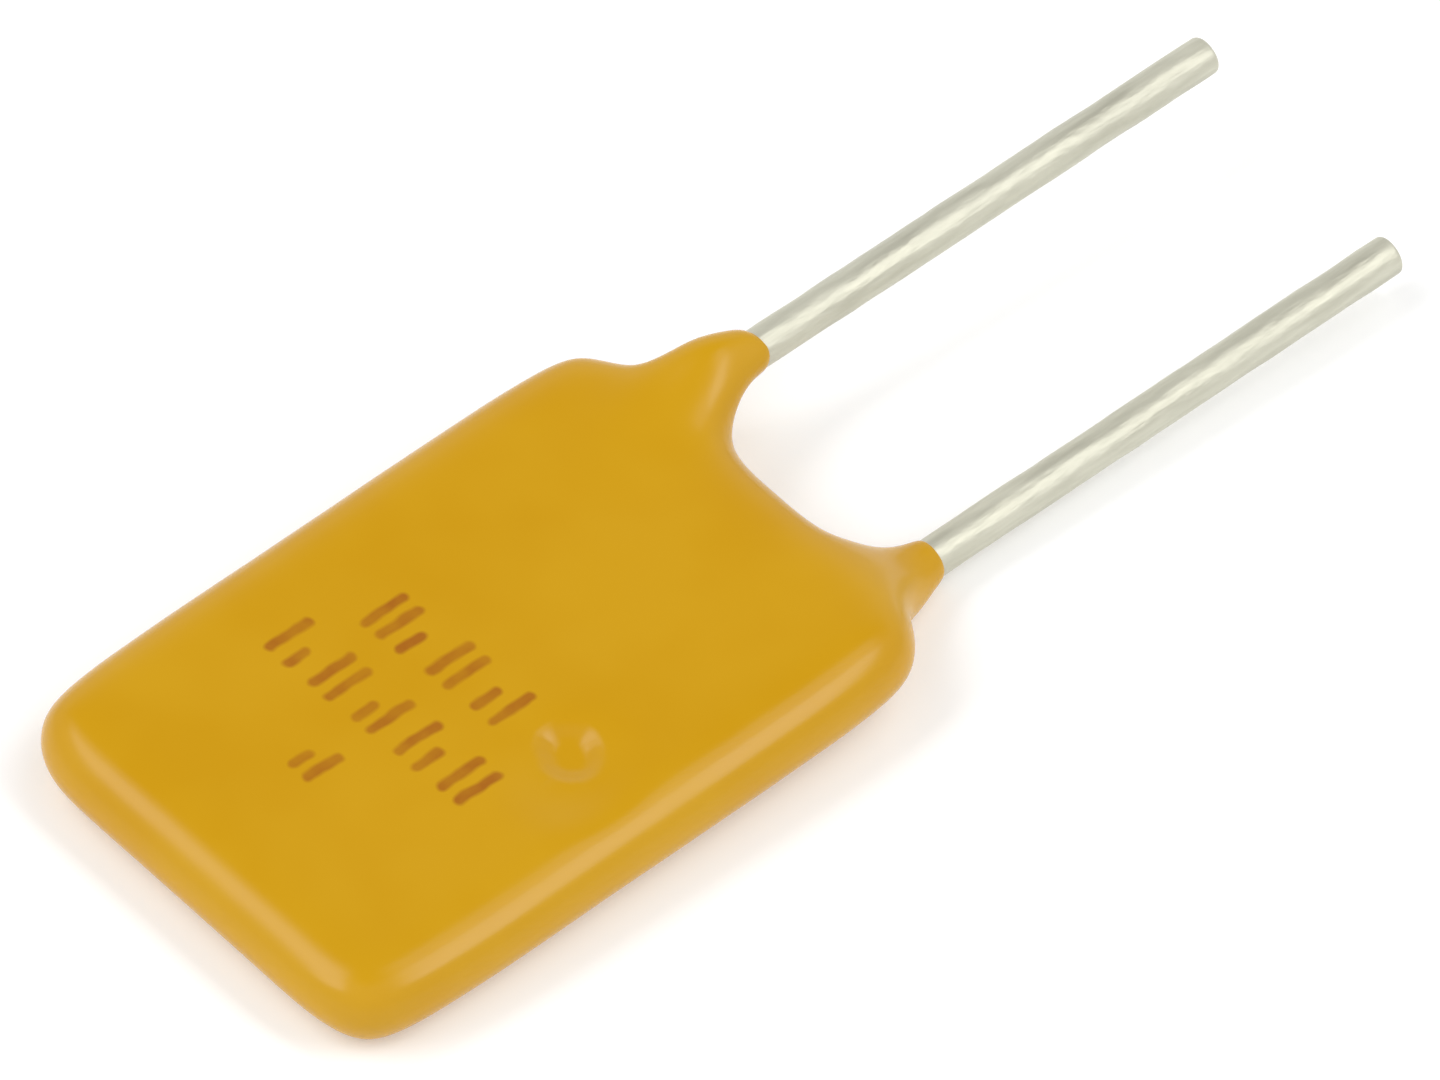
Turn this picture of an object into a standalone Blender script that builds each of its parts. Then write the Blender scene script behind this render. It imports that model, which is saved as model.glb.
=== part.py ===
"""A radial-leaded resettable fuse, lying on its flat back.

A sheet of carbon-filled polymer is sandwiched between two metal foils. A tinned copper wire with a
flattened inner end is soldered to each foil, one on the front and one on the back, and the whole stack
is dipped in yellow epoxy that draws up each wire in a neck.

Metres. +Z points out of the printed face, +Y along the wires, and the origin is the middle of the back.
"""

import math

import bmesh
import bpy
from mathutils import Matrix

MM = 0.001

# The polymer element and the foils on its two faces
CHIP_WIDTH = 8.6 * MM
CHIP_LENGTH = 12.75 * MM
CHIP_THICKNESS = 0.42 * MM
FOIL_THICKNESS = 0.035 * MM

# The tinned copper wires
PITCH = 5.1 * MM
WIRE_DIAMETER = 0.78 * MM
FRONT_WIRE_OUT = 11.0 * MM
BACK_WIRE_OUT = 11.4 * MM
TIP_CHAMFER = 0.09 * MM

# The inner end of each wire, pressed flat to lie on its foil
BLADE_THICKNESS = 0.34 * MM
BLADE_OVERLAP = 6.0 * MM
BLADE_LEAD_IN = 0.4 * MM
BLADE_TAPER = 1.4 * MM
BLADE_SET = 0.13 * MM

# The solder under and beside each blade
BOND_THICKNESS = 0.05 * MM
FILLET_WIDTH = 0.35 * MM
FILLET_HEIGHT = 0.24 * MM
FILLET_LEAN = 0.21 * MM
SOLDER_SETBACK = 0.3 * MM

# The epoxy over the stack
FACE_COVER = 0.175 * MM
EDGE_COVER = 0.7 * MM
TOP_COVER = 0.9 * MM
CORNER_CUT = 0.33 * MM
CORNER_HEIGHT = 1.5 * MM
SHOULDER_CUT = 0.3 * MM
SHOULDER_DROP = 0.45 * MM
SHOULDER_HEIGHT = 1.74 * MM

# The necks of epoxy on the wires
FRONT_NECK = 1.87 * MM
BACK_NECK = 1.56 * MM
NECK_COVER = 0.05 * MM
NECK_FLARE = 0.36 * MM
RIDGE_RISE = 0.22 * MM

# A small pit that the coating has in its printed face
PIT_X = 2.6 * MM
PIT_Y = -0.1 * MM
PIT_WIDTH = 1.3 * MM
PIT_DEPTH = 0.13 * MM

# The seam between any two pieces that lie against each other, and how near two places count as one
SEAM = 0.01 * MM
NEAR = 0.001 * MM

# Shares that shape the coarse cage. Smoothing shrinks it, so its rim and its rings start larger.
RIM_RATIO = 0.29
RIM_SPARE_RATIO = 0.33
RING_SPARE_RATIO = 1.09
RING_CORNER_RATIO = 0.74
RING_CLOSING_RATIO = 0.55
# Each ring of a neck: its place from root to tip, how far it has narrowed and how far it is off the middle
NECK_RINGS = ((0.4, 0.34, 0.95), (0.77, 0.84, 1.06), (1.0, 1.0, 1.0))

# How finely round things are made
SMOOTHING = 2
WIRE_SIDES = 24
CHAMFER_STEPS = 2
CHAMFER_PROFILE_RATIO = 0.6
BALL_SIDES = 48
BALL_RINGS = 32
SMOOTH_ANGLE = math.radians(35)

# Linear colours
EPOXY_YELLOW = (0.645, 0.337, 0.010)
POLYMER_BLACK = (0.018, 0.018, 0.020)
FOIL_GREY = (0.55, 0.53, 0.49)
TIN_WHITE = (0.78, 0.77, 0.70)
SOLDER_GREY = (0.62, 0.62, 0.60)

# Sizes that follow from the ones above
BLADE_WIDTH = math.pi * WIRE_DIAMETER**2 / 4 / BLADE_THICKNESS
FOIL_INNER = CHIP_THICKNESS / 2 + SEAM
FOIL_OUTER = FOIL_INNER + FOIL_THICKNESS
SOLDER_INNER = FOIL_OUTER + SEAM
BLADE_MIDDLE = SOLDER_INNER + BOND_THICKNESS + SEAM + BLADE_THICKNESS / 2
BLADE_OUTER = BLADE_MIDDLE + BLADE_THICKNESS / 2
WIRE_OFFSET = BLADE_MIDDLE + BLADE_SET
MIDDLE = BLADE_OUTER + SEAM + FACE_COVER
BODY_THICKNESS = 2 * MIDDLE
BODY_WIDTH = CHIP_WIDTH + 2 * EDGE_COVER
BODY_LENGTH = EDGE_COVER + CHIP_LENGTH + TOP_COVER
BODY_BOTTOM = -BODY_LENGTH / 2
BODY_TOP = BODY_LENGTH / 2
CHIP_TOP = BODY_TOP - TOP_COVER
CHIP_CENTRE = CHIP_TOP - CHIP_LENGTH / 2
BLADE_START = CHIP_TOP + BLADE_LEAD_IN
ROUND_START = BLADE_START + BLADE_TAPER
BLADE_END = CHIP_TOP - BLADE_OVERLAP
RIM = RIM_RATIO * BODY_THICKNESS
NECK_ROOT = BLADE_WIDTH / 2 + NECK_FLARE
NECK_RADIUS = RING_SPARE_RATIO * (WIRE_DIAMETER / 2 + NECK_COVER)

FRONT = 1
BACK = -1
WIRES = {
    "front": {"side": FRONT, "x": -PITCH / 2, "neck": FRONT_NECK, "out": FRONT_WIRE_OUT},
    "back": {"side": BACK, "x": PITCH / 2, "neck": BACK_NECK, "out": BACK_WIRE_OUT},
}


def clear_scene():
    for old in list(bpy.data.objects):
        bpy.data.objects.remove(old)


def new_collection(name, hidden=False):
    collection = bpy.data.collections.new(name)
    bpy.context.scene.collection.children.link(collection)
    collection.hide_render = hidden
    return collection


def new_material(name, colour, roughness, metallic=0.0):
    material = bpy.data.materials.new(name)
    material.use_nodes = True
    shader = material.node_tree.nodes["Principled BSDF"]
    shader.inputs["Base Color"].default_value = (*colour, 1.0)
    shader.inputs["Roughness"].default_value = roughness
    shader.inputs["Metallic"].default_value = metallic
    material.diffuse_color = (*colour, 1.0)
    return material


def add_object(name, built, collection, material=None):
    """Turns a bmesh into a named object."""
    mesh = bpy.data.meshes.new(name)
    bmesh.ops.recalc_face_normals(built, faces=built.faces)
    built.to_mesh(mesh)
    built.free()
    result = bpy.data.objects.new(name, mesh)
    collection.objects.link(result)
    if material:
        mesh.materials.append(material)
    return result


def add_cutter(name, built, collection):
    cutter = add_object(name, built, collection)
    cutter.hide_render = True
    cutter.display_type = "WIRE"


def add_difference(target, name):
    modifier = target.modifiers.new(name, "BOOLEAN")
    modifier.operation = "DIFFERENCE"
    modifier.solver = "EXACT"
    return modifier


def cut(target, cutter):
    add_difference(target, "cut " + cutter.name).object = cutter


def cut_all(target, cutters):
    """Cuts every cutter of a collection in one step, so that those that overlap leave one clean room."""
    modifier = add_difference(target, "cut " + cutters.name)
    modifier.operand_type = "COLLECTION"
    modifier.collection = cutters


def side_of(value):
    """-1 or 1 by the value's sign, or 0 where it is near nothing."""
    if abs(value) < NEAR:
        return 0
    return int(math.copysign(1, value))


def end_of(value, low, high):
    """-1 at the low end, 1 at the high end and 0 anywhere else."""
    return int(side_of(value - high) == 0) - int(side_of(value - low) == 0)


def block(size, centre):
    built = bmesh.new()
    bmesh.ops.create_cube(built, size=1.0)
    bmesh.ops.scale(built, vec=size, verts=built.verts)
    bmesh.ops.translate(built, vec=centre, verts=built.verts)
    return built


def extrude(built, faces):
    """Extrudes these faces where they are, and gives the new end's faces and corners, ready to be moved."""
    made = bmesh.ops.extrude_face_region(built, geom=faces)["geom"]
    bmesh.ops.delete(built, geom=faces, context="FACES")
    end = [item for item in made if isinstance(item, bmesh.types.BMFace)]
    corners = [item for item in made if isinstance(item, bmesh.types.BMVert)]
    return end, corners


def stack_layer(thickness, middle, grow=0.0):
    """A sheet of the chip's plan. middle is the place of its own middle, from the body's middle plane."""
    size = (CHIP_WIDTH + 2 * grow, CHIP_LENGTH + 2 * grow, thickness + 2 * grow)
    return block(size, (0.0, CHIP_CENTRE, MIDDLE + middle))


def wire(spec, grow=0.0):
    """A round wire along Y, drawn down to a flat blade at its inner end.

    grow makes every face lie this much further out, for the passage that the wire runs through.
    """
    radius = WIRE_DIAMETER / 2 + grow
    tip = BODY_TOP + spec["neck"] + spec["out"]
    axis_z = MIDDLE + spec["side"] * WIRE_OFFSET
    blade_z = MIDDLE + spec["side"] * BLADE_MIDDLE

    built = bmesh.new()
    bmesh.ops.create_cone(
        built,
        cap_ends=True,
        segments=WIRE_SIDES,
        radius1=radius,
        radius2=radius,
        depth=tip - ROUND_START,
    )
    bmesh.ops.rotate(built, matrix=Matrix.Rotation(-math.pi / 2, 3, "X"), verts=built.verts)
    bmesh.ops.translate(built, vec=(spec["x"], (tip + ROUND_START) / 2, axis_z), verts=built.verts)
    if not grow:
        chamfer_tip(built, tip)

    end = [face for face in built.faces if side_of(face.calc_center_median().y - ROUND_START) == 0]
    end, corners = extrude(built, end)
    for vert in corners:
        across = (vert.co.x - spec["x"]) / radius
        up = max(-1.0, min(1.0, 2 * (vert.co.z - axis_z) / radius))
        vert.co.x = spec["x"] + across * (BLADE_WIDTH / 2 + grow)
        vert.co.y = BLADE_START
        vert.co.z = blade_z + up * (BLADE_THICKNESS / 2 + grow)
    for vert in extrude(built, end)[1]:
        vert.co.y = BLADE_END - grow
    return built


def chamfer_tip(built, tip):
    rim = [edge for edge in built.edges if all(side_of(vert.co.y - tip) == 0 for vert in edge.verts)]
    bmesh.ops.bevel(
        built,
        geom=rim,
        offset=TIP_CHAMFER,
        segments=CHAMFER_STEPS,
        profile=CHAMFER_PROFILE_RATIO,
        affect="EDGES",
    )


def solder_block(spec, grow=0.0):
    """A low mound on the foil, as wide as the blade and a fillet on each side, narrower at its top."""
    low = BLADE_END - FILLET_WIDTH - grow
    high = CHIP_TOP - SOLDER_SETBACK + grow
    middle_y = (low + high) / 2
    middle_z = MIDDLE + spec["side"] * (SOLDER_INNER + FILLET_HEIGHT / 2)
    width = BLADE_WIDTH + 2 * FILLET_WIDTH + 2 * grow
    built = block((width, high - low, FILLET_HEIGHT + 2 * grow), (spec["x"], middle_y, middle_z))
    for vert in built.verts:
        if side_of(vert.co.z - middle_z) != spec["side"]:
            continue
        vert.co.x -= side_of(vert.co.x - spec["x"]) * FILLET_LEAN
        if vert.co.y < middle_y:
            vert.co.y += FILLET_LEAN
    return built


def body_cage():
    """The coarse cage of the epoxy: a slab in three layers, with rounded corners and sloping shoulders."""
    side = BODY_WIDTH / 2 + RIM_SPARE_RATIO * RIM
    bottom = BODY_BOTTOM - RIM_SPARE_RATIO * RIM
    top = BODY_TOP + RIM_SPARE_RATIO * RIM
    cage = block((2 * side, top - bottom, BODY_THICKNESS), (0.0, (top + bottom) / 2, MIDDLE))

    columns = [0.0]
    for spec in WIRES.values():
        columns += [spec["x"] - NECK_ROOT, spec["x"], spec["x"] + NECK_ROOT]
    rows = (BODY_BOTTOM + CORNER_HEIGHT, 0.0, BODY_TOP - SHOULDER_HEIGHT)
    planes = [((x, 0, 0), (1, 0, 0)) for x in columns]
    planes += [((0, y, 0), (0, 1, 0)) for y in rows]
    planes += [((0, 0, MIDDLE), (0, 0, 1))]
    for point, normal in planes:
        geometry = cage.verts[:] + cage.edges[:] + cage.faces[:]
        bmesh.ops.bisect_plane(cage, geom=geometry, plane_co=point, plane_no=normal, dist=NEAR / 10)

    for vert in cage.verts:
        across = end_of(vert.co.x, -side, side)
        along = end_of(vert.co.y, bottom, top)
        on_face = end_of(vert.co.z, 0.0, BODY_THICKNESS)
        if across and along < 0:
            vert.co.x -= across * CORNER_CUT
            vert.co.y += CORNER_CUT
        if across and along > 0:
            vert.co.x -= across * SHOULDER_CUT
            vert.co.y -= SHOULDER_DROP
        if on_face and (across or along):
            inset = RIM / math.hypot(across, along)
            vert.co.x -= across * inset
            vert.co.y -= along * inset
    return cage


def raise_ridge(cage, spec):
    """Lifts the slab's skin over the wire, where it leaves the top edge."""
    face_z = MIDDLE + spec["side"] * MIDDLE
    for vert in cage.verts:
        over_wire = side_of(vert.co.x - spec["x"]) == 0 and vert.co.y > BODY_TOP - RIM
        if over_wire and side_of(vert.co.z - face_z) == 0:
            vert.co.z += spec["side"] * RIDGE_RISE


def draw_neck(cage, spec):
    """Pulls the slab's end over one wire out into a neck that narrows onto the wire."""
    end = [face for face in cage.faces if face.calc_center_median().y > BODY_TOP - RIM]
    end = [face for face in end if abs(face.calc_center_median().x - spec["x"]) < NECK_ROOT]
    centre_z = MIDDLE
    for along, narrowing, offset in NECK_RINGS:
        end, corners = extrude(cage, end)
        half_width = NECK_ROOT + (NECK_RADIUS - NECK_ROOT) * narrowing
        half_height = MIDDLE + (NECK_RADIUS - MIDDLE) * narrowing
        ring_z = MIDDLE + spec["side"] * WIRE_OFFSET * offset
        for vert in corners:
            across = side_of(vert.co.x - spec["x"])
            up = side_of(vert.co.z - centre_z)
            share = RING_CORNER_RATIO if across and up else 1.0
            vert.co.x = spec["x"] + across * share * half_width
            vert.co.y = BODY_TOP + along * spec["neck"]
            vert.co.z = ring_z + up * share * half_height
        centre_z = ring_z
    for vert in extrude(cage, end)[1]:
        vert.co.x += (spec["x"] - vert.co.x) * (1 - RING_CLOSING_RATIO)
        vert.co.z += (centre_z - vert.co.z) * (1 - RING_CLOSING_RATIO)


def pit_ball():
    """The ball that presses a round pit of this width and depth into the front face."""
    radius = (PIT_WIDTH**2 / 4 + PIT_DEPTH**2) / (2 * PIT_DEPTH)
    built = bmesh.new()
    bmesh.ops.create_uvsphere(built, u_segments=BALL_SIDES, v_segments=BALL_RINGS, radius=radius)
    centre = (PIT_X, PIT_Y, BODY_THICKNESS + radius - PIT_DEPTH)
    bmesh.ops.translate(built, vec=centre, verts=built.verts)
    return built


def build_coating(collection, cutters, material):
    cage = body_cage()
    for spec in WIRES.values():
        raise_ridge(cage, spec)
        draw_neck(cage, spec)
    coating = add_object("coating", cage, collection, material)
    smooth = coating.modifiers.new("dipped form", "SUBSURF")
    smooth.levels = SMOOTHING
    smooth.render_levels = SMOOTHING

    add_cutter("stack_room", stack_layer(2 * FOIL_OUTER, 0.0, SEAM), cutters)
    for name, spec in WIRES.items():
        add_cutter(name + "_solder_room", solder_block(spec, SEAM), cutters)
        add_cutter(name + "_wire_room", wire(spec, SEAM), cutters)
    add_cutter("pit_ball", pit_ball(), cutters)
    cut_all(coating, cutters)
    coating.data.shade_smooth()


def build_stack(collection, polymer, foil):
    add_object("ptc_chip", stack_layer(CHIP_THICKNESS, 0.0), collection, polymer)
    for name, spec in WIRES.items():
        sheet = stack_layer(FOIL_THICKNESS, spec["side"] * (FOIL_INNER + FOIL_THICKNESS / 2))
        add_object(name + "_foil", sheet, collection, foil)


def build_wires(collection, cutters, tinned, solder):
    for name, spec in WIRES.items():
        lead = add_object(name + "_lead", wire(spec), collection, tinned)
        lead.data.shade_smooth()
        lead.data.set_sharp_from_angle(angle=SMOOTH_ANGLE)
        mound = add_object(name + "_solder", solder_block(spec), collection, solder)
        cut(mound, cutters.objects[name + "_wire_room"])


def main():
    clear_scene()
    parts = new_collection("resettable_fuse")
    cutters = new_collection("cutters", hidden=True)
    epoxy = new_material("yellow epoxy", EPOXY_YELLOW, 0.32)
    polymer = new_material("carbon-filled polymer", POLYMER_BLACK, 0.6)
    foil = new_material("nickel foil", FOIL_GREY, 0.35, 1.0)
    tinned = new_material("tinned copper", TIN_WHITE, 0.3, 1.0)
    solder = new_material("solder", SOLDER_GREY, 0.35, 1.0)
    build_coating(parts, cutters, epoxy)
    build_stack(parts, polymer, foil)
    build_wires(parts, cutters, tinned, solder)


main()
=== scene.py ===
"""The finish of a radial-leaded resettable fuse: its dipped epoxy, its wires and its inner stack.

The frame holds the plain solids. Each operator makes a piece with its full form, or gives a solid
its finish. Metres, in the frame of the solids: +Z out of the printed face, +Y along the wires.
"""

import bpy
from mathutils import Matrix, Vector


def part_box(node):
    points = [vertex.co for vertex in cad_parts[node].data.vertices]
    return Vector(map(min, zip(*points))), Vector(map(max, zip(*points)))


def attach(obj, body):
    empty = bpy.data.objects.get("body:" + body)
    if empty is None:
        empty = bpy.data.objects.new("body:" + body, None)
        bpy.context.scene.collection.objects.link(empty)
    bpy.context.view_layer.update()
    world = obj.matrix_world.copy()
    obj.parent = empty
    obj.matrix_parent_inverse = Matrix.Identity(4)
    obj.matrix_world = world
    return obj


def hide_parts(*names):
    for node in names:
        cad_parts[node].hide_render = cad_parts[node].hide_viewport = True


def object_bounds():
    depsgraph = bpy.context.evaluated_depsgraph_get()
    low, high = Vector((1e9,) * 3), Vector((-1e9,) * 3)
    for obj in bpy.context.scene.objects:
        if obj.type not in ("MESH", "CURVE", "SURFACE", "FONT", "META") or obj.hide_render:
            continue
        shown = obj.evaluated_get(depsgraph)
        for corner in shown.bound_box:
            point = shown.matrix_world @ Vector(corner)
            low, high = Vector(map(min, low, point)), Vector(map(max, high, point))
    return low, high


bl_info = {
    "name": "Resettable fuse finish",
    "version": (1, 0, 0),
    "blender": (4, 5, 0),
    "location": "3D View > Sidebar > Fuse",
    "description": "Makes the coating, wires, inner stack and stage of a resettable fuse",
    "category": "Object",
}

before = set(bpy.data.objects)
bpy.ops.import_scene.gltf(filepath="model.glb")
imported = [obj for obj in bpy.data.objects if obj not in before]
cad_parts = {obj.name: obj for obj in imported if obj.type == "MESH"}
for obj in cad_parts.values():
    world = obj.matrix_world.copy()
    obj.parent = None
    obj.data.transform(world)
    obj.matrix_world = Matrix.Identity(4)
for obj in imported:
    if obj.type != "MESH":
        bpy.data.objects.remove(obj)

import math

import bmesh
import bpy
from bpy.props import FloatProperty, FloatVectorProperty, IntProperty, PointerProperty
from mathutils import Matrix, Vector

MM = 0.001
CAD_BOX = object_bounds()

# Places that the solids settle. The body's back is at zero, so its middle is half its thickness up
COATING_LOW, COATING_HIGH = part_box("coating")
CHIP_LOW, CHIP_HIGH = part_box("ptc_chip")
MIDDLE = (CHIP_LOW.z + CHIP_HIGH.z) / 2
THICKNESS = 2 * MIDDLE
HALF_WIDTH = COATING_HIGH.x
BOTTOM = COATING_LOW.y
# Which way along Z each wire lies off the middle
SIDES = {"front": 1, "back": -1}
# Two places closer than this are the same place
NEAR = 0.002 * MM
CUT_PRECISION = NEAR / 20


class CoatingSettings(bpy.types.PropertyGroup):
    """Sizes and looks of the dipped epoxy."""

    top_cover: FloatProperty(
        name="Top cover", description="Epoxy above the chip's top edge",
        default=0.9 * MM, unit="LENGTH")
    rim_inset: FloatProperty(
        name="Rim inset", description="How far the rounded rim runs in over each face",
        default=0.29 * THICKNESS, unit="LENGTH")
    rim_spare: FloatProperty(
        name="Rim spare", description="What smoothing takes off the outline, added to the cage",
        default=0.095 * THICKNESS, unit="LENGTH")
    corner_cut: FloatProperty(
        name="Corner cut", description="How far each lower corner is drawn in",
        default=0.33 * MM, unit="LENGTH")
    corner_height: FloatProperty(
        name="Corner height", description="Where the straight sides begin above the lower edge",
        default=1.5 * MM, unit="LENGTH")
    shoulder_cut: FloatProperty(
        name="Shoulder cut", description="How far each shoulder is drawn in",
        default=0.3 * MM, unit="LENGTH")
    shoulder_drop: FloatProperty(
        name="Shoulder drop", description="How far each shoulder slopes down",
        default=0.45 * MM, unit="LENGTH")
    shoulder_height: FloatProperty(
        name="Shoulder height", description="Where the straight sides end below the top edge",
        default=1.74 * MM, unit="LENGTH")
    neck_root: FloatProperty(
        name="Neck root", description="Half the width of a neck where it leaves the body",
        default=1.06 * MM, unit="LENGTH")
    inner_root: FloatProperty(
        name="Inner root", description="How much further a neck's root runs towards the other wire",
        default=0.12 * MM, unit="LENGTH")
    crest_fall: FloatProperty(
        name="Crest fall",
        description="How far the skin falls away beside a wire, as a share of its height",
        default=0.25)
    ridge_rise: FloatProperty(
        name="Ridge rise", description="How high the skin is lifted over a wire",
        default=0.22 * MM, unit="LENGTH")
    ridge_lean: FloatProperty(
        name="Ridge lean", description="How far the ridge over the front wire leans outwards",
        default=0.3 * MM, unit="LENGTH")
    front_neck: FloatProperty(
        name="Front neck", description="Length of the neck on the front wire",
        default=1.87 * MM, unit="LENGTH")
    back_neck: FloatProperty(
        name="Back neck", description="Length of the neck on the back wire",
        default=1.61 * MM, unit="LENGTH")
    neck_cover: FloatProperty(
        name="Neck cover", description="Epoxy around the wire at a neck's tip",
        default=0.08 * MM, unit="LENGTH")
    dimple_x: FloatProperty(
        name="Dimple across", description="The dimple's place across the face",
        default=2.59 * MM, unit="LENGTH")
    dimple_y: FloatProperty(
        name="Dimple along", description="The dimple's place along the face",
        default=-0.07 * MM, unit="LENGTH")
    dimple_floor: FloatProperty(
        name="Dimple floor", description="Half the width of the dimple's floor",
        default=0.2 * MM, unit="LENGTH")
    dimple_run: FloatProperty(
        name="Dimple run", description="Half the length of the dimple's floor",
        default=0.1 * MM, unit="LENGTH")
    dimple_turn: FloatProperty(
        name="Dimple turn", description="Which way the dimple runs",
        default=math.radians(-24), subtype="ANGLE")
    dimple_wall: FloatProperty(
        name="Dimple wall", description="Width of the dimple's sloping wall",
        default=0.5 * MM, unit="LENGTH")
    dimple_depth: FloatProperty(
        name="Dimple depth", description="How deep the dimple is",
        default=0.13 * MM, unit="LENGTH")
    hollow_width: FloatProperty(
        name="Hollow width", description="How far the shallow hollow round the dimple fades out",
        default=1.4 * MM, unit="LENGTH")
    hollow_depth: FloatProperty(
        name="Hollow depth", description="How deep that hollow is",
        default=0.12 * MM, unit="LENGTH")
    waviness: FloatProperty(
        name="Waviness", description="How uneven the dipped skin is",
        default=0.02 * MM, unit="LENGTH")
    wave_size: FloatProperty(
        name="Wave size", description="Size of the dipped skin's waves",
        default=2.5 * MM, unit="LENGTH")
    fineness: IntProperty(
        name="Fineness", description="Smoothing steps of the skin", default=4, min=2, max=5)
    colour: FloatVectorProperty(
        name="Yellow", description="Colour of the epoxy",
        default=(0.56, 0.30, 0.007), subtype="COLOR")
    deep_colour: FloatVectorProperty(
        name="Deeper yellow", description="Colour where the epoxy is thicker",
        default=(0.54, 0.28, 0.005), subtype="COLOR")
    ink: FloatVectorProperty(
        name="Ink", description="Colour of the printed marks",
        default=(0.36, 0.12, 0.009), subtype="COLOR")


class WireSettings(bpy.types.PropertyGroup):
    """Sizes and looks of the tinned wires."""

    radius: FloatProperty(
        name="Wire radius", description="Radius of the round wire",
        default=0.39 * MM, unit="LENGTH")
    blade_thickness: FloatProperty(
        name="Blade thickness", description="Thickness of the flattened inner end",
        default=0.34 * MM, unit="LENGTH")
    blade_lead_in: FloatProperty(
        name="Blade lead-in", description="How far the flat end runs past the chip",
        default=0.4 * MM, unit="LENGTH")
    blade_taper: FloatProperty(
        name="Blade taper", description="Length of the change from flat to round",
        default=1.4 * MM, unit="LENGTH")
    front_spare: FloatProperty(
        name="Front spare", description="How much longer the front wire was cut",
        default=0.07 * MM, unit="LENGTH")
    front_rounding: FloatProperty(
        name="Front rounding", description="Rounding of the front wire's cut end",
        default=0.09 * MM, unit="LENGTH")
    back_rounding: FloatProperty(
        name="Back rounding", description="Rounding of the back wire's cut end",
        default=0.08 * MM, unit="LENGTH")
    unevenness: FloatProperty(
        name="Unevenness", description="How uneven the tin is", default=0.03 * MM, unit="LENGTH")
    lump_size: FloatProperty(
        name="Lump size", description="Size of the tin's lumps", default=0.9 * MM, unit="LENGTH")
    ring_spacing: FloatProperty(
        name="Ring spacing", description="Spacing of the rings that let the wire be uneven",
        default=0.25 * MM, unit="LENGTH")
    sides: IntProperty(name="Sides", description="Facets around the wire", default=48, min=12)
    colour: FloatVectorProperty(
        name="Tin", description="Colour of the tinning",
        default=(0.6, 0.59, 0.485), subtype="COLOR")
    dull_colour: FloatVectorProperty(
        name="Dull tin", description="Colour of its duller streaks",
        default=(0.51, 0.5, 0.405), subtype="COLOR")


class StackSettings(bpy.types.PropertyGroup):
    """Looks of the pieces inside the coating."""

    polymer: FloatVectorProperty(
        name="Polymer", description="Colour of the filled polymer",
        default=(0.018, 0.018, 0.020), subtype="COLOR")
    foil: FloatVectorProperty(
        name="Foil", description="Colour of the nickel foil",
        default=(0.55, 0.53, 0.49), subtype="COLOR")
    solder: FloatVectorProperty(
        name="Solder", description="Colour of the solder",
        default=(0.62, 0.62, 0.60), subtype="COLOR")


class StageSettings(bpy.types.PropertyGroup):
    """The floor, the lights and the camera."""

    floor_size: FloatProperty(
        name="Floor size", description="Side of the square floor", default=3.0, unit="LENGTH")
    floor_colour: FloatVectorProperty(
        name="Floor", description="Colour of the floor",
        default=(0.85, 0.85, 0.85), subtype="COLOR")
    floor_glow: FloatProperty(
        name="Floor glow", description="How brightly the floor is lit from beneath", default=0.17)
    room_light: FloatProperty(
        name="Room light", description="How brightly the pale room shines", default=0.86)
    overhead_light: FloatProperty(
        name="Overhead light", description="How brightly the room's darker patch shines",
        default=0.1)
    light_distance: FloatProperty(
        name="Light distance", description="How far the lights are", default=0.5, unit="LENGTH")
    azimuth: FloatProperty(
        name="Azimuth", description="The camera's turn round the fuse",
        default=math.radians(47.958), subtype="ANGLE")
    elevation: FloatProperty(
        name="Elevation", description="The camera's height over the floor",
        default=math.radians(49.287), subtype="ANGLE")
    roll: FloatProperty(
        name="Roll", description="The camera's lean", default=math.radians(0.915), subtype="ANGLE")
    distance: FloatProperty(
        name="Distance", description="From the camera to what it looks at",
        default=0.48813, unit="LENGTH")
    lens: FloatProperty(name="Lens", description="Focal length in millimetres", default=669.3)


def deselect_all():
    if bpy.context.mode != "OBJECT":
        bpy.ops.object.mode_set(mode="OBJECT")
    bpy.ops.object.select_all(action="DESELECT")


def start(name):
    """Names the primitive just added, fixes its place in its mesh and opens it for editing."""
    piece = bpy.context.object
    piece.name = name
    piece.data.name = name
    bpy.ops.object.transform_apply(location=True, rotation=True, scale=True)
    bpy.ops.object.mode_set(mode="EDIT")
    return piece


def finish_editing():
    bpy.ops.mesh.select_all(action="SELECT")
    bpy.ops.mesh.normals_make_consistent(inside=False)
    bpy.ops.object.mode_set(mode="OBJECT")
    bpy.ops.object.shade_smooth()


def pick(kind, test):
    """Selects the vertices, edges or faces that pass the test, and nothing else."""
    bpy.ops.mesh.select_mode(type=kind)
    mesh = bpy.context.edit_object.data
    edited = bmesh.from_edit_mesh(mesh)
    items = {"VERT": edited.verts, "EDGE": edited.edges, "FACE": edited.faces}[kind]
    chosen = [item for item in items if test(item)]
    for item in items:
        item.select_set(False)
    for item in chosen:
        item.select_set(True)
    edited.select_flush_mode()
    bmesh.update_edit_mesh(mesh)
    if not chosen:
        raise RuntimeError(f"nothing was found to work on in {mesh.name}")


def pick_verts(test):
    pick("VERT", lambda vert: test(vert.co))


def near(value, other):
    return abs(value - other) < NEAR


def end_of(value, low, high):
    """-1 at the low end, 1 at the high end and 0 anywhere else."""
    return int(near(value, high)) - int(near(value, low))


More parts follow.
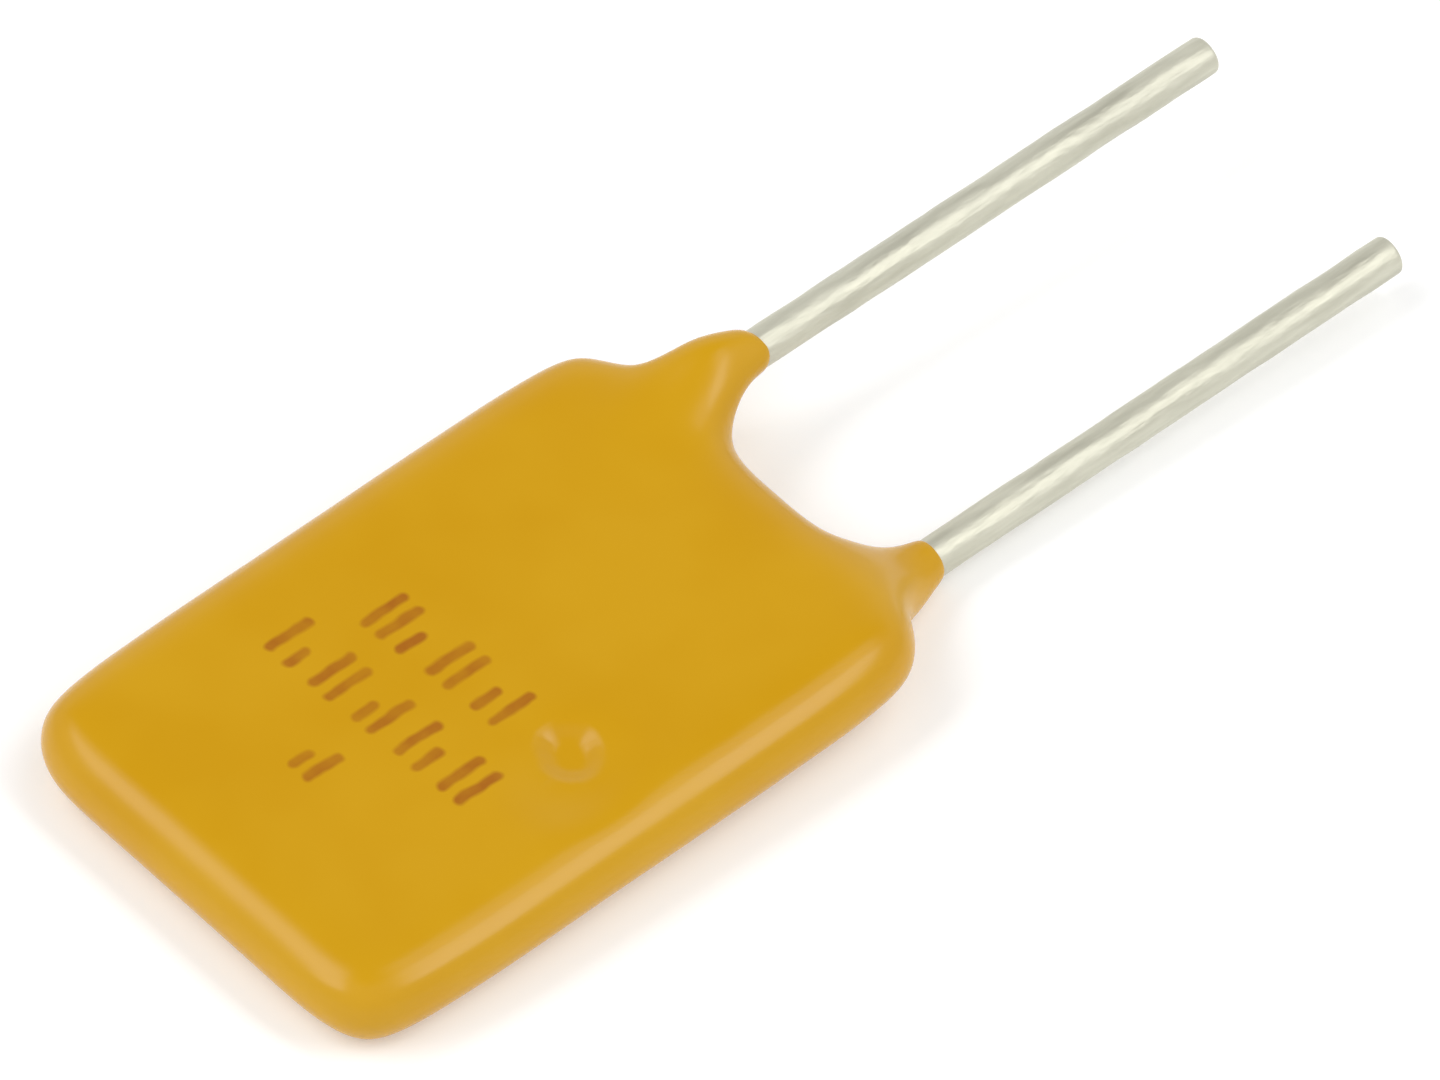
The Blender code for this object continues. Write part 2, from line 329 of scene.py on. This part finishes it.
def slice_all(places, axis):
    """Cuts the whole mesh by a plane at each place on this axis."""
    for place in places:
        point, normal = Vector(), Vector()
        point[axis], normal[axis] = place, 1.0
        bpy.ops.mesh.select_all(action="SELECT")
        bpy.ops.mesh.bisect(plane_co=point, plane_no=normal, threshold=CUT_PRECISION)


def move(by):
    bpy.ops.transform.translate(value=by)


def apply_modifier(piece, name, kind, **settings):
    modifier = piece.modifiers.new(name, kind)
    for key, value in settings.items():
        setattr(modifier, key, value)
    bpy.ops.object.modifier_apply(modifier=name)


def make_uneven(piece, name, height, size):
    """Lifts and sinks the skin by soft noise of this height and size."""
    noise = bpy.data.textures.new(name, "CLOUDS")
    noise.noise_scale = size
    noise.noise_depth = 1
    apply_modifier(
        piece, name, "DISPLACE", texture=noise, texture_coords="LOCAL", strength=height,
        mid_level=0.5)


def place(piece, node, slot):
    """Lets the piece stand for its solid."""
    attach(piece, "root")
    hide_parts(node)


def wire_place(side):
    """Where this wire's axis is, across and up, and where its tip is."""
    low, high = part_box(side + "_lead")
    radius = bpy.context.scene.fuse_wires.radius
    axis_z = high.z - radius if side == "front" else low.z + radius
    return (low.x + high.x) / 2, axis_z, high.y


# The dipped coating

# Each ring of a neck, as shares: its place from root to tip, how far it has narrowed and how far
# it is off the body's middle
NECK_RINGS = ((0.4, 0.34, 0.95), (0.77, 0.84, 1.06), (1.0, 1.0, 1.0))
RING_SIDES = 8
# The size of the last ring, which closes the tip, as a share of the ring before it
RING_CLOSING = 0.55
# A ring this much wider than the tip counts as flared
FLARED = 1.1
# How far out a ring's points are that lie beside the wire, as a share of its half width and height
BESIDE = 0.4
# How far each ring sits off its wire, across and up, in millimetres
NECK_LEAN = {
    "front": ((-0.11, 0.1), (-0.06, 0.06), (0.01, 0.0)),
    "back": ((0.0, 0.0), (0.0, 0.0), (0.0, 0.0)),
}
# Where the dip ran fuller or thinner than an even slab, by side and row, in millimetres
SWELLS = {
    (-1, "lower corner"): (0.16, 0.12),
    (1, "lower row"): (0.14, 0.0),
    (-1, "upper row"): (-0.1, 0.0),
    (-1, "shoulder"): (-0.1, -0.03),
    (1, "shoulder"): (-0.12, -0.04),
}
# From the dimple to the middle of the hollow round it
HOLLOW_OFFSET = (0.4 * MM, -0.4 * MM)
# Round the dimple, edges that run further than this along Y get this many cuts, out to this many
# times the dimple's reach
LONG_EDGE = 0.2 * MM
FINE_CUTS = 6
FINE_REACH = 1.3
# Steps from the middle of the dimple's floor to each end of it
FLOOR_STEPS = 4


def body_top():
    return CHIP_HIGH.y + bpy.context.scene.fuse_coating.top_cover


def add_slab():
    """The slab's cage: a block in two layers, cut where its corners, shoulders and necks begin."""
    settings = bpy.context.scene.fuse_coating
    side = HALF_WIDTH + settings.rim_spare
    bottom = BOTTOM - settings.rim_spare
    top = body_top() + settings.rim_spare
    bpy.ops.mesh.primitive_cube_add(
        size=1.0, location=(0.0, (top + bottom) / 2, MIDDLE),
        scale=(2 * side, top - bottom, THICKNESS))
    piece = start("dipped_coating")

    columns = [0.0]
    for name in SIDES:
        x = wire_place(name)[0]
        inwards = math.copysign(settings.inner_root, -x)
        columns += [
            x - settings.neck_root + min(inwards, 0), x, x + settings.neck_root + max(inwards, 0)]
    slice_all(columns, 0)
    corner_row = BOTTOM + settings.corner_height
    shoulder_row = body_top() - settings.shoulder_height
    slice_all((corner_row, 0.0, shoulder_row), 1)
    slice_all((MIDDLE,), 2)

    for across, along in ((x, y) for x in (-1, 0, 1) for y in (-1, 0, 1) if x or y):
        cut = Vector()
        if across and along < 0:
            cut = Vector((-across * settings.corner_cut, settings.corner_cut, 0))
        if across and along > 0:
            cut = Vector((-across * settings.shoulder_cut, -settings.shoulder_drop, 0))
        inset = settings.rim_inset / math.hypot(across, along)

        def here(co):
            return end_of(co.x, -side, side) == across and end_of(co.y, bottom, top) == along

        pick_verts(lambda co: here(co) and not near(co.z, MIDDLE))
        move(cut + Vector((-across * inset, -along * inset, 0)))
        if cut.length:
            pick_verts(here)
            move(cut)

    rows = {
        "lower corner": (bottom, corner_row - NEAR),
        "lower row": (corner_row - NEAR, corner_row + NEAR),
        "upper row": (shoulder_row - NEAR, shoulder_row + NEAR),
        "shoulder": (shoulder_row + NEAR, top),
    }
    for (across, row), (out_x, out_y) in SWELLS.items():
        low, high = rows[row]
        pick_verts(
            lambda co: low <= co.y <= high and across * co.x > side - 2 * settings.rim_inset)
        move((out_x * MM, out_y * MM, 0))
    return piece


def draw_neck(side):
    """Lifts the skin over this wire and draws the slab's end out onto it, ring by ring."""
    settings = bpy.context.scene.fuse_coating
    x, axis_z, _ = wire_place(side)
    face_z = MIDDLE + SIDES[side] * MIDDLE
    edge = body_top() - settings.rim_inset
    length = settings.front_neck if side == "front" else settings.back_neck
    tip_radius = bpy.context.scene.fuse_wires.radius + settings.neck_cover

    pick_verts(lambda co: near(co.x, x) and near(co.z, face_z) and co.y > edge)
    lean = math.copysign(settings.ridge_lean, x) if side == "front" else 0.0
    move((lean, 0, SIDES[side] * settings.ridge_rise))
    pick("FACE", lambda face: face.calc_center_median().y > edge
         and abs(face.calc_center_median().x - x) < settings.neck_root)
    bpy.ops.mesh.delete(type="FACE")

    rings = []
    for (along, narrowing, offset), (lean_x, lean_z) in zip(NECK_RINGS, NECK_LEAN[side]):
        width = settings.neck_root + (tip_radius - settings.neck_root) * narrowing
        height = MIDDLE + (tip_radius - MIDDLE) * narrowing
        centre = Vector((
            x + lean_x * MM, body_top() + along * length,
            MIDDLE + (axis_z - MIDDLE) * offset + lean_z * MM))
        rings.append((centre, width, height))
    rings.append((centre, width * RING_CLOSING, height * RING_CLOSING))
    for centre, width, height in rings:
        bpy.ops.mesh.select_all(action="DESELECT")
        bpy.ops.mesh.primitive_circle_add(
            vertices=RING_SIDES, radius=width, location=centre, rotation=(math.pi / 2, 0, 0))
        bpy.ops.transform.resize(value=(1, 1, height / width), center_override=centre)
        if side == "front" and width > FLARED * tip_radius:
            pick("VERT", lambda vert: vert.select and vert.co.x > centre.x + BESIDE * width
                 and vert.co.z > centre.z + BESIDE * height)
            move((0, 0, -settings.crest_fall * height))
        pick("EDGE", lambda edge: edge.is_boundary or edge.is_wire)
        bpy.ops.mesh.bridge_edge_loops()
    pick("EDGE", lambda edge: edge.is_boundary)
    bpy.ops.mesh.edge_face_add()


def press_dimple():
    """Presses a small dimple into the face, in the upper part of a shallow hollow."""
    settings = bpy.context.scene.fuse_coating
    centre = Vector((settings.dimple_x, settings.dimple_y))
    turn = settings.dimple_turn
    run = Vector((math.cos(turn), math.sin(turn))) * settings.dimple_run
    reach = settings.dimple_run + settings.dimple_floor + settings.dimple_wall
    bpy.ops.object.mode_set(mode="EDIT")
    pick("EDGE", lambda edge: abs(edge.verts[0].co.y - edge.verts[1].co.y) > LONG_EDGE and all(
        vert.co.z > MIDDLE and (vert.co.xy - centre).length < FINE_REACH * reach
        for vert in edge.verts))
    bpy.ops.mesh.subdivide(number_cuts=FINE_CUTS)

    for middle, wall, depth in (
            (centre + Vector(HOLLOW_OFFSET), settings.hollow_width, settings.hollow_depth),
            (centre, settings.dimple_wall, settings.dimple_depth)):
        stations = [
            middle + run * step / FLOOR_STEPS for step in range(-FLOOR_STEPS, FLOOR_STEPS + 1)]
        pick_verts(lambda co: co.z > MIDDLE and any(
            (co.xy - station).length < settings.dimple_floor for station in stations))
        bpy.ops.transform.translate(
            value=(0, 0, -depth), use_proportional_edit=True, proportional_edit_falloff="SMOOTH",
            proportional_size=wall)
    bpy.ops.object.mode_set(mode="OBJECT")


class FUSE_OT_coating(bpy.types.Operator):
    """Make the dipped epoxy coating, with its necks, its dimple and its printed marks."""

    bl_idname = "fuse.coating"
    bl_label = "Dip the coating"

    def execute(self, context):
        deselect_all()
        settings = context.scene.fuse_coating
        piece = add_slab()
        for side in SIDES:
            draw_neck(side)
        finish_editing()
        apply_modifier(
            piece, "dipped form", "SUBSURF", levels=settings.fineness,
            render_levels=settings.fineness)
        press_dimple()
        make_uneven(piece, "dip waves", settings.waviness, settings.wave_size)
        piece.data.materials.append(epoxy_material(settings))
        place(piece, "coating", "yellow_epoxy")
        return {"FINISHED"}


# The wires

# Steps of the rounding of a cut end
TIP_STEPS = 5


def blade_ends():
    """Where a wire stops being a flat blade, and where it is round again."""
    settings = bpy.context.scene.fuse_wires
    flat_y = CHIP_HIGH.y + settings.blade_lead_in
    return flat_y, flat_y + settings.blade_taper


def flatten_end(x, axis_z, side):
    """Draws the wire's inner end down to the flat blade that lies on the foil."""
    settings = bpy.context.scene.fuse_wires
    low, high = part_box(side + "_lead")
    half_width = (high.x - low.x) / 2
    half_height = settings.blade_thickness / 2
    blade_z = low.z + half_height if side == "front" else high.z - half_height
    flat_y, round_y = blade_ends()

    pick("FACE", lambda face: near(face.calc_center_median().y, round_y))
    bpy.ops.mesh.extrude_region()
    move((0, flat_y - round_y, blade_z - axis_z))
    bpy.ops.transform.resize(
        value=(half_width / settings.radius, 1, 2 * half_height / settings.radius),
        center_override=(x, flat_y, blade_z))
    for up in (-1, 1):
        level = blade_z + up * half_height
        pick_verts(lambda co: near(co.y, flat_y) and up * (co.z - level) > -NEAR)
        bpy.ops.transform.resize(value=(1, 1, 0), center_override=(x, flat_y, level))
    pick("FACE", lambda face: near(face.calc_center_median().y, flat_y))
    bpy.ops.mesh.extrude_region()
    move((0, low.y - flat_y, 0))


def cut_tip(tip, rounding):
    pick("EDGE", lambda edge: all(near(vert.co.y, tip) for vert in edge.verts))
    bpy.ops.mesh.bevel(offset=rounding, segments=TIP_STEPS, profile=0.5, affect="EDGES")


class FUSE_OT_wires(bpy.types.Operator):
    """Make the two tinned wires, flattened inside the coating and cut off at their tips."""

    bl_idname = "fuse.wires"
    bl_label = "Make the wires"

    def execute(self, context):
        settings = context.scene.fuse_wires
        material = tin_material(settings)
        for side in SIDES:
            deselect_all()
            x, axis_z, tip = wire_place(side)
            if side == "front":
                tip += settings.front_spare
            _, round_y = blade_ends()
            bpy.ops.mesh.primitive_cylinder_add(
                vertices=settings.sides, radius=settings.radius, depth=tip - round_y,
                location=(x, (tip + round_y) / 2, axis_z), rotation=(math.pi / 2, 0, 0))
            piece = start(side + "_wire")
            rounding = settings.front_rounding if side == "front" else settings.back_rounding
            cut_tip(tip, rounding)
            count = int((tip - rounding - round_y) / settings.ring_spacing)
            slice_all(
                (round_y + settings.ring_spacing * (number + 1) for number in range(count)), 1)
            flatten_end(x, axis_z, side)
            finish_editing()
            make_uneven(piece, side + " tin waves", settings.unevenness, settings.lump_size)
            piece.data.materials.append(material)
            place(piece, side + "_lead", "tinned_copper")
        return {"FINISHED"}


class FUSE_OT_stack(bpy.types.Operator):
    """Give the polymer, the foils and the solder inside the coating their finish."""

    bl_idname = "fuse.stack"
    bl_label = "Finish the inner stack"

    def execute(self, context):
        settings = context.scene.fuse_stack
        polymer = mottled_material(
            "filled polymer", settings.polymer, roughness=0.62, metallic=0.0, scale=9000, bump=0.3)
        foil = mottled_material(
            "nickel foil", settings.foil, roughness=0.38, metallic=1.0, scale=2500, bump=0.15)
        solder = mottled_material(
            "solder", settings.solder, roughness=0.3, metallic=1.0, scale=1600, bump=0.2)
        finishes = {
            "ptc_chip": polymer,
            "front_foil": foil,
            "back_foil": foil,
            "front_solder": solder,
            "back_solder": solder,
        }
        for node, material in finishes.items():
            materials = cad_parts[node].data.materials
            materials.clear()
            materials.append(material)
        return {"FINISHED"}


# Finishes

# The colour sockets of a Mix node, whose names repeat for every kind of data
MIX_AMOUNT, MIX_FIRST, MIX_SECOND, MIX_RESULT = 0, 6, 7, 2
# How far the tin's streaks stand out, as a share of its lumps
STREAK_SHARE = 0.4
# The mottling of the inner pieces: how much finer its fine noise is, how dark its darker parts are
# and between which shares of the roughness it varies
MOTTLE_FINENESS = 4.0
MOTTLE_SHADE = 0.82
MOTTLE_SPAN = (0.85, 1.15)


class Shader:
    """A node tree that is easy to write: each call adds a node. Sockets go by name or number."""

    def __init__(self, tree):
        self.tree = tree

    def add(self, kind, inputs=None, **settings):
        node = self.tree.nodes.new(kind)
        for key, value in settings.items():
            setattr(node, key, value)
        for key, value in (inputs or {}).items():
            self.feed(node.inputs[key], value)
        return node

    def feed(self, socket, value):
        if isinstance(value, bpy.types.NodeSocket):
            self.tree.links.new(value, socket)
        else:
            socket.default_value = value

    def math(self, operation, *values, clamp=False):
        node = self.add("ShaderNodeMath", operation=operation, use_clamp=clamp)
        for socket, value in zip(node.inputs, values):
            self.feed(socket, value)
        return node.outputs[0]

    def vector(self, operation, *values, output=0):
        return self.add(
            "ShaderNodeVectorMath", dict(enumerate(values)), operation=operation).outputs[output]

    def scale(self, vector, by):
        node = self.add("ShaderNodeVectorMath", {0: vector}, operation="SCALE")
        self.feed(node.inputs["Scale"], by)
        return node.outputs[0]

    def blend(self, amount, first, second):
        node = self.add("ShaderNodeMix", data_type="RGBA")
        for socket, value in ((MIX_AMOUNT, amount), (MIX_FIRST, first), (MIX_SECOND, second)):
            self.feed(node.inputs[socket], value)
        return node.outputs[MIX_RESULT]

    def noise(self, position, scale, detail=2.0):
        inputs = {"Vector": position, "Scale": scale, "Detail": detail}
        return self.add("ShaderNodeTexNoise", inputs).outputs["Fac"]

    def spread(self, value, span, new_span):
        """Stretches a value from one span to another, and stops at the ends."""
        inputs = dict(enumerate((value, *span, *new_span)))
        return self.add("ShaderNodeMapRange", inputs).outputs[0]

    def stretch(self, position, share):
        """Draws a pattern out along the wires: the smaller the share, the longer it gets."""
        inputs = {"Vector": position, "Scale": (1.0, share, 1.0)}
        return self.add("ShaderNodeMapping", inputs).outputs[0]

    def roughen(self, surface, height, strength, distance):
        """Feeds this height to the shader's normal as a bump."""
        inputs = {"Height": height, "Strength": strength, "Distance": distance}
        self.feed(surface.inputs["Normal"], self.add("ShaderNodeBump", inputs).outputs[0])


def new_material(name):
    """A material with its shader and the place of each point in the fuse."""
    material = bpy.data.materials.new(name)
    material.use_nodes = True
    nodes = Shader(material.node_tree)
    surface = material.node_tree.nodes["Principled BSDF"]
    place_of = nodes.add("ShaderNodeTexCoord").outputs["Object"]
    return material, nodes, surface, place_of


def new_group(name, inputs, outputs):
    group = bpy.data.node_groups.new(name, "ShaderNodeTree")
    for label, kind in inputs.items():
        group.interface.new_socket(label, in_out="INPUT", socket_type=kind)
    for label, kind in outputs.items():
        group.interface.new_socket(label, in_out="OUTPUT", socket_type=kind)
    nodes = Shader(group)
    return group, nodes, nodes.add("NodeGroupInput").outputs, nodes.add("NodeGroupOutput").inputs


def unevenness_group():
    """Soft and fine noise together: a height for bumps and a mask for colour."""
    if "unevenness" in bpy.data.node_groups:
        return bpy.data.node_groups["unevenness"]
    group, nodes, given, out = new_group(
        "unevenness",
        {"Place": "NodeSocketVector", "Soft Scale": "NodeSocketFloat",
         "Fine Scale": "NodeSocketFloat", "Fine Share": "NodeSocketFloat"},
        {"Height": "NodeSocketFloat", "Mask": "NodeSocketFloat"})
    soft = nodes.noise(given["Place"], given["Soft Scale"])
    fine = nodes.noise(given["Place"], given["Fine Scale"], detail=3.0)
    nodes.feed(out["Height"], nodes.math("MULTIPLY_ADD", fine, given["Fine Share"], soft))
    nodes.feed(out["Mask"], nodes.spread(soft, (0.35, 0.65), (0.0, 1.0)))
    return group


def group_node(nodes, group, inputs):
    return nodes.add("ShaderNodeGroup", inputs, node_tree=group).outputs


def add_unevenness(nodes, position, soft, fine, share):
    inputs = {"Place": position, "Soft Scale": soft, "Fine Scale": fine, "Fine Share": share}
    return group_node(nodes, unevenness_group(), inputs)


def mark_group():
    """One printed stroke: a soft mask round the line from one end to the other."""
    group, nodes, given, out = new_group(
        "printed stroke",
        {"Place": "NodeSocketVector", "Start": "NodeSocketVector", "Run": "NodeSocketVector",
         "Half Width": "NodeSocketFloat"},
        {"Mask": "NodeSocketFloat"})
    from_start = nodes.vector("SUBTRACT", given["Place"], given["Start"])
    along = nodes.vector("DOT_PRODUCT", from_start, given["Run"], output="Value")
    run = nodes.vector("DOT_PRODUCT", given["Run"], given["Run"], output="Value")
    nearest = nodes.scale(given["Run"], nodes.math("DIVIDE", along, run, clamp=True))
    gap = nodes.vector("DISTANCE", from_start, nearest, output="Value")
    edge = nodes.math("SUBTRACT", given["Half Width"], gap)
    nodes.feed(out["Mask"], nodes.spread(edge, STROKE_EDGE, (0.0, 1.0)))
    return group


# Each printed mark: where it is on the face, and how it runs from there, in millimetres
STROKES = (
    ((2.2, -2.4), (0.0, 0.9)), ((1.75, -2.4), (0.0, 0.9)),
    ((1.1, -2.45), (0.0, 0.5)), ((0.6, -2.45), (0.0, 0.9)),
    ((-0.1, -2.5), (0.0, 0.9)), ((-0.5, -2.5), (0.0, 0.4)),
    ((-1.2, -2.55), (0.0, 0.9)), ((-1.65, -2.55), (0.0, 0.9)),
    ((-2.3, -2.6), (0.0, 0.4)), ((-2.8, -2.6), (0.0, 0.9)),
    ((1.2, -0.7), (0.0, 0.9)), ((0.7, -0.7), (0.0, 0.5)),
    ((0.0, -0.75), (0.0, 0.9)), ((-0.45, -0.75), (0.0, 0.9)),
    ((-1.2, -0.85), (0.0, 0.5)), ((-1.7, -0.9), (0.0, 0.9)), ((-2.1, -0.9), (0.0, 0.9)),
    ((0.0, -4.1), (0.0, 0.7)), ((-0.4, -4.1), (0.0, 0.35)),
)
STROKE_HALF_WIDTH = 0.12 * MM
# Where the ink begins and where it is full, inwards from a stroke's edge
STROKE_EDGE = (-0.03 * MM, 0.05 * MM)
# How far the strokes shake, and how finely
SHAKE = 0.12 * MM
SHAKE_SCALE = 2200.0


def print_mask(nodes, position):
    """The mask of all printed strokes on the front face."""
    wobble = nodes.add(
        "ShaderNodeTexNoise", {"Vector": position, "Scale": SHAKE_SCALE, "Detail": 1.0})
    centred = nodes.vector("SUBTRACT", wobble.outputs["Color"], (0.5, 0.5, 0.5))
    shaken = nodes.vector("ADD", position, nodes.scale(centred, SHAKE))
    flat = nodes.vector("MULTIPLY", shaken, (1.0, 1.0, 0.0))
    group = mark_group()
    total = 0.0
    for (x, y), (run_x, run_y) in STROKES:
        stroke = group_node(nodes, group, {
            "Place": flat, "Start": (x * MM, y * MM, 0), "Run": (run_x * MM, run_y * MM, 0),
            "Half Width": STROKE_HALF_WIDTH})
        total = nodes.math("MAXIMUM", total, stroke["Mask"])
    height = nodes.add("ShaderNodeSeparateXYZ", {0: position}).outputs["Z"]
    on_front = nodes.math("GREATER_THAN", height, MIDDLE)
    return nodes.math("MULTIPLY", total, on_front)


def epoxy_material(settings):
    material, nodes, surface, position = new_material("yellow epoxy")
    uneven = add_unevenness(nodes, position, soft=350.0, fine=2600.0, share=0.12)
    body = nodes.blend(uneven["Mask"], (*settings.deep_colour, 1), (*settings.colour, 1))
    cover = nodes.spread(nodes.noise(position, scale=1500.0), (0.3, 0.7), (0.6, 1.0))
    ink_amount = nodes.math("MULTIPLY", print_mask(nodes, position), cover)
    colour = nodes.blend(ink_amount, body, (*settings.ink, 1))
    nodes.feed(surface.inputs["Base Color"], colour)
    roughness = nodes.spread(uneven["Height"], (0.3, 0.8), (0.18, 0.26))
    nodes.feed(surface.inputs["Roughness"], roughness)
    nodes.roughen(surface, uneven["Height"], strength=0.35, distance=0.02 * MM)
    surface.inputs["Specular IOR Level"].default_value = 0.25
    return material


def tin_material(settings):
    material, nodes, surface, position = new_material("tinned copper")
    drawn = nodes.stretch(position, share=0.4)
    lumps = add_unevenness(nodes, drawn, soft=2600.0, fine=11000.0, share=0.2)
    streaked = nodes.stretch(position, share=0.12)
    streaks = add_unevenness(nodes, streaked, soft=5200.0, fine=17000.0, share=0.4)
    colour = nodes.blend(streaks["Mask"], (*settings.dull_colour, 1), (*settings.colour, 1))
    nodes.feed(surface.inputs["Base Color"], colour)
    metallic = nodes.spread(lumps["Mask"], (0.0, 1.0), (0.32, 0.48))
    nodes.feed(surface.inputs["Metallic"], metallic)
    roughness = nodes.spread(streaks["Height"], (0.3, 1.0), (0.34, 0.5))
    nodes.feed(surface.inputs["Roughness"], roughness)
    height = nodes.math("MULTIPLY_ADD", streaks["Height"], STREAK_SHARE, lumps["Height"])
    nodes.roughen(surface, height, strength=1.0, distance=0.04 * MM)
    return material


def mottled_material(name, colour, roughness, metallic, scale, bump):
    """A plain finish with soft mottling, for the pieces inside the coating."""
    material, nodes, surface, position = new_material(name)
    uneven = add_unevenness(
        nodes, position, soft=scale, fine=MOTTLE_FINENESS * scale, share=0.3)
    darker = tuple(MOTTLE_SHADE * part for part in colour)
    mottled = nodes.blend(uneven["Mask"], (*darker, 1), (*colour, 1))
    nodes.feed(surface.inputs["Base Color"], mottled)
    surface.inputs["Metallic"].default_value = metallic
    varied = nodes.spread(
        uneven["Height"], (0.3, 0.9), [share * roughness for share in MOTTLE_SPAN])
    nodes.feed(surface.inputs["Roughness"], varied)
    nodes.roughen(surface, uneven["Height"], strength=bump, distance=0.01 * MM)
    return material


# The stage

# Each softbox: which way it stands from the fuse, which way its length runs, its width, its length
# and its power in watts. A dimmer one above each of the two main ones softens its upper end.
SOFTBOXES = (
    ("right softbox", (0.53, 0.42, 0.74), (0.55, -0.11, -0.37), 0.13, 0.34, 0.72),
    ("upper right softbox", (0.074, 0.498, 1.019), (0.55, -0.11, -0.37), 0.13, 0.2, 0.18),
    ("left softbox", (-0.38, -0.57, 0.73), (0.36, -0.8, -0.46), 0.17, 0.46, 0.98),
    ("upper left softbox", (-0.58, -0.112, 0.982), (0.36, -0.8, -0.46), 0.17, 0.1, 0.08),
)
# Which way the room's darker patch is, and the cosines at which it begins and is darkest
DARK_PATCH = (-0.3, 0.2, 0.93)
DARK_PATCH_EDGE = (0.74, 0.95)
# What the camera looks at
AIM = Vector((0.944, 4.998, 2.194)) * MM
# How many times nearer and further than the fuse the camera still sees
SIGHT = 10


def add_softbox(name, towards, along, width, length, power, distance, centre):
    """A soft light that faces the fuse from this direction, with its length along another."""
    direction = Vector(towards).normalized()
    lengthways = (Vector(along) - direction * direction.dot(along)).normalized()
    bpy.ops.object.light_add(type="AREA", location=centre + direction * distance)
    light = bpy.context.object
    light.name = name
    light.rotation_mode = "QUATERNION"
    light.rotation_quaternion = Matrix(
        (lengthways.cross(direction), lengthways, direction)).transposed().to_quaternion()
    light.data.shape = "RECTANGLE"
    light.data.size = width
    light.data.size_y = length
    light.data.energy = power


def add_studio(room, overhead):
    """A pale room with a darker patch overhead."""
    world = bpy.data.worlds.new("studio")
    bpy.context.scene.world = world
    world.use_nodes = True
    nodes = Shader(world.node_tree)
    towards = nodes.add("ShaderNodeTexCoord").outputs["Generated"]
    side = Vector(DARK_PATCH).normalized()
    nearness = nodes.vector("DOT_PRODUCT", towards, side, output="Value")
    background = world.node_tree.nodes["Background"]
    background.inputs["Color"].default_value = (1, 1, 1, 1)
    strength = nodes.spread(nearness, DARK_PATCH_EDGE, (room, overhead))
    nodes.feed(background.inputs["Strength"], strength)


class FUSE_OT_stage(bpy.types.Operator):
    """Set up the floor, the lights and the camera."""

    bl_idname = "fuse.stage"
    bl_label = "Set the stage"

    def execute(self, context):
        deselect_all()
        settings = context.scene.fuse_stage
        low, high = CAD_BOX
        # The fuse lies on its lower edge and on its back neck, so the floor leans to touch both
        neck_y = body_top() + context.scene.fuse_coating.back_neck / 2
        foot_y = BOTTOM + context.scene.fuse_coating.rim_inset
        lean = math.atan2(-low.z, neck_y - foot_y)
        bpy.ops.mesh.primitive_plane_add(
            size=settings.floor_size, location=(0, foot_y, 0), rotation=(-lean, 0, 0))
        floor = bpy.context.object
        floor.name = "floor"
        material, nodes, surface, _ = new_material("matt floor")
        nodes.feed(surface.inputs["Base Color"], (*settings.floor_colour, 1))
        surface.inputs["Roughness"].default_value = 0.9
        surface.inputs["Emission Strength"].default_value = settings.floor_glow
        floor.data.materials.append(material)

        centre = (low + high) / 2
        for light in SOFTBOXES:
            add_softbox(*light, settings.light_distance, centre)
        add_studio(settings.room_light, settings.overhead_light)

        back = Vector((
            math.sin(settings.azimuth) * math.cos(settings.elevation),
            -math.cos(settings.azimuth) * math.cos(settings.elevation),
            math.sin(settings.elevation)))
        bpy.ops.object.camera_add(location=AIM + back * settings.distance)
        camera = bpy.context.object
        camera.name = "camera"
        camera.rotation_mode = "QUATERNION"
        level = (-back).to_track_quat("-Z", "Y").to_matrix().to_4x4()
        leaning = Matrix.Rotation(settings.roll, 4, back) @ level
        camera.rotation_quaternion = leaning.to_quaternion()
        camera.data.lens = settings.lens
        camera.data.clip_start = settings.distance / SIGHT
        camera.data.clip_end = settings.distance * SIGHT
        context.scene.camera = camera
        context.scene.view_settings.view_transform = "Standard"
        return {"FINISHED"}


class FUSE_PT_panel(bpy.types.Panel):
    """Lists the steps that make the fuse."""

    bl_label = "Resettable fuse"
    bl_idname = "FUSE_PT_panel"
    bl_space_type = "VIEW_3D"
    bl_region_type = "UI"
    bl_category = "Fuse"

    def draw(self, context):
        for operator in OPERATORS:
            self.layout.operator(operator.bl_idname)
        for name, settings in SETTINGS.items():
            box = self.layout.box()
            box.label(text=settings.__doc__)
            for key in settings.__annotations__:
                box.prop(getattr(context.scene, name), key)


SETTINGS = {
    "fuse_coating": CoatingSettings,
    "fuse_wires": WireSettings,
    "fuse_stack": StackSettings,
    "fuse_stage": StageSettings,
}
OPERATORS = (FUSE_OT_coating, FUSE_OT_wires, FUSE_OT_stack, FUSE_OT_stage)


def register():
    for kind in (*SETTINGS.values(), *OPERATORS, FUSE_PT_panel):
        bpy.utils.register_class(kind)
    for name, settings in SETTINGS.items():
        setattr(bpy.types.Scene, name, PointerProperty(type=settings))


def unregister():
    for name in SETTINGS:
        delattr(bpy.types.Scene, name)
    for kind in (FUSE_PT_panel, *reversed(OPERATORS), *reversed(SETTINGS.values())):
        bpy.utils.unregister_class(kind)


def main():
    register()
    bpy.ops.fuse.coating()
    bpy.ops.fuse.wires()
    bpy.ops.fuse.stack()
    bpy.ops.fuse.stage()


if __name__ == "__main__":
    main()
